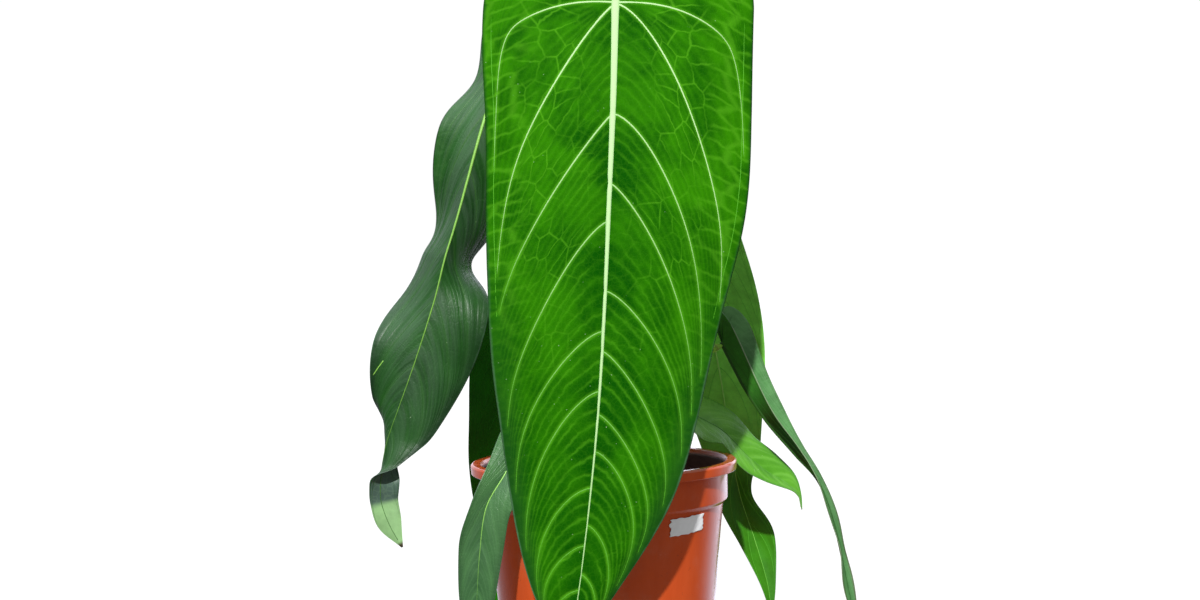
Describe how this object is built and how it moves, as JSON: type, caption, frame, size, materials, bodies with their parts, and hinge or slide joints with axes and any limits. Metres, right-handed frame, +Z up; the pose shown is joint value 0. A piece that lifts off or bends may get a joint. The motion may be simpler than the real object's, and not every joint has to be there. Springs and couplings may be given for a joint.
{
  "type": "potted foliage plant",
  "caption": "Queen anthurium with long pendant velvet leaves, on an upright stem in a tapered plastic nursery pot filled with bark mix.",
  "frame": {"origin": "centre of the pot's flat foot", "axes": "+Z up along the pot's axis, -Y towards the side that the large front leaf hangs on"},
  "size_m": [0.3257, 0.2472, 0.512],
  "materials": {
    "pot_plastic": "satin",
    "label_paper": "matte",
    "bark_mix": "matte",
    "stem": "matte",
    "petiole": "satin",
    "leaf_bright": "satin",
    "leaf_grey": "satin",
    "leaf_dark": "satin",
    "leaf_mid": "satin",
    "leaf_light": "satin"
  },
  "bodies": {
    "root": {"pot": "pot_plastic", "label": "label_paper", "potting_mix": "bark_mix", "stem": "stem", "petiole_front": "petiole", "petiole_left": "petiole", "petiole_back_left": "petiole", "petiole_low_left": "petiole", "petiole_back_right": "petiole", "petiole_mid_right": "petiole", "petiole_low_right": "petiole", "blade_front": "leaf_bright", "blade_left": "leaf_grey", "blade_back_left": "leaf_dark", "blade_low_left": "leaf_grey", "blade_back_right": "leaf_mid", "blade_mid_right": "leaf_grey", "blade_low_right": "leaf_light"}
  },
  "joints": []
}
